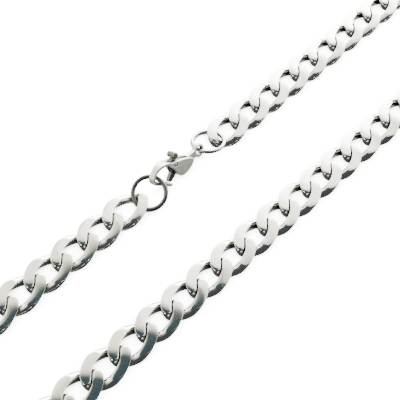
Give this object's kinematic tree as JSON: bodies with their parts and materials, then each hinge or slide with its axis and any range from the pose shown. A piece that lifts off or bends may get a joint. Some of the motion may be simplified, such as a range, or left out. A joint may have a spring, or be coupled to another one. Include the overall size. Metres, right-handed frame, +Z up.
{
  "type": "curb chain necklace",
  "caption": "Heavy flattened curb chain necklace closed in a loop, lying flat, with two jump rings and a lobster clasp whose sprung lever opens.",
  "frame": {"origin": "middle of the bounding box, on the surface that the necklace lies on", "axes": "+X along the two straight runs towards the right bend, +Y across them towards the run with the clasp, +Z up"},
  "size_m": [0.2437, 0.0545, 0.0059],
  "materials": {
    "chain_steel": "high polish stainless steel",
    "ring_steel": "polished drawn stainless steel wire",
    "clasp_steel": "tumbled and lightly brushed steel",
    "lever_steel": "polished steel, darker in its slot"
  },
  "bodies": {
    "necklace": {"chain_left": "chain_steel", "chain_right": "chain_steel", "hook_ring": "ring_steel", "end_ring": "ring_steel", "clasp_body": "clasp_steel", "lever_rivet": "ring_steel"},
    "lever": {"clasp_lever": "lever_steel"}
  },
  "joints": [
    {"name": "lever_pivot", "type": "hinge", "parent": "necklace", "child": "lever", "pos_m": [-0.00927, 0.01071, 0.00373], "axis": [0.0892, -0.9149, 0.3937], "range_deg": [-30, 0], "stiffness_Nm_per_rad": 0.012}
  ]
}
